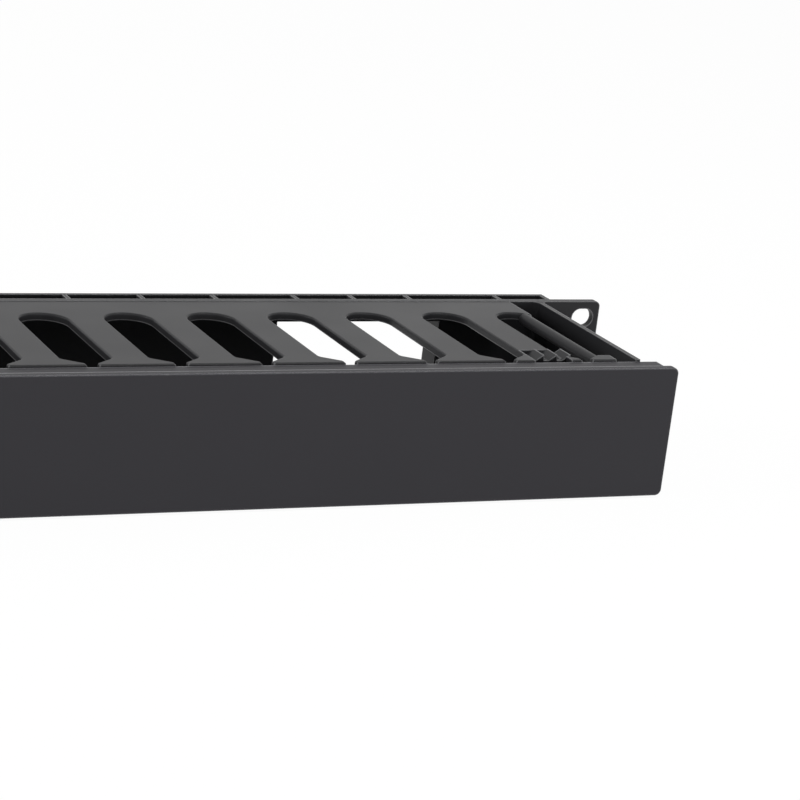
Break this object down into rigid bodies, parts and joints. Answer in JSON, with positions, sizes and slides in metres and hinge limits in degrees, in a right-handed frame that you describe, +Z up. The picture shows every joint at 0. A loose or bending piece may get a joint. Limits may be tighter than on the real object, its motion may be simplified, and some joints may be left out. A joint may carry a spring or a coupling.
{
  "type": "horizontal cable manager",
  "caption": "Plastic finger duct one rack unit high for 19-inch racks, with slotted upper and lower combs, rear cable windows, slotted ears and a push-on front cover.",
  "frame": {"origin": "middle of the mounting plane, where the rear faces of both ears meet the rack rails, halfway across and halfway up", "axes": "+X across the rack to the right as seen from the front, +Y into the rack, +Z up"},
  "size_m": [0.478, 0.0886, 0.0442],
  "materials": {
    "duct_body": "fine satin moulding",
    "front_cover": "fine satin moulding"
  },
  "bodies": {
    "duct": {"duct_body": "duct_body"},
    "cover": {"front_cover": "front_cover"}
  },
  "joints": [
    {"name": "cover_pull", "type": "slide", "parent": "duct", "child": "cover", "axis": [0, -1, 0], "range_m": [0, 0.04]}
  ]
}
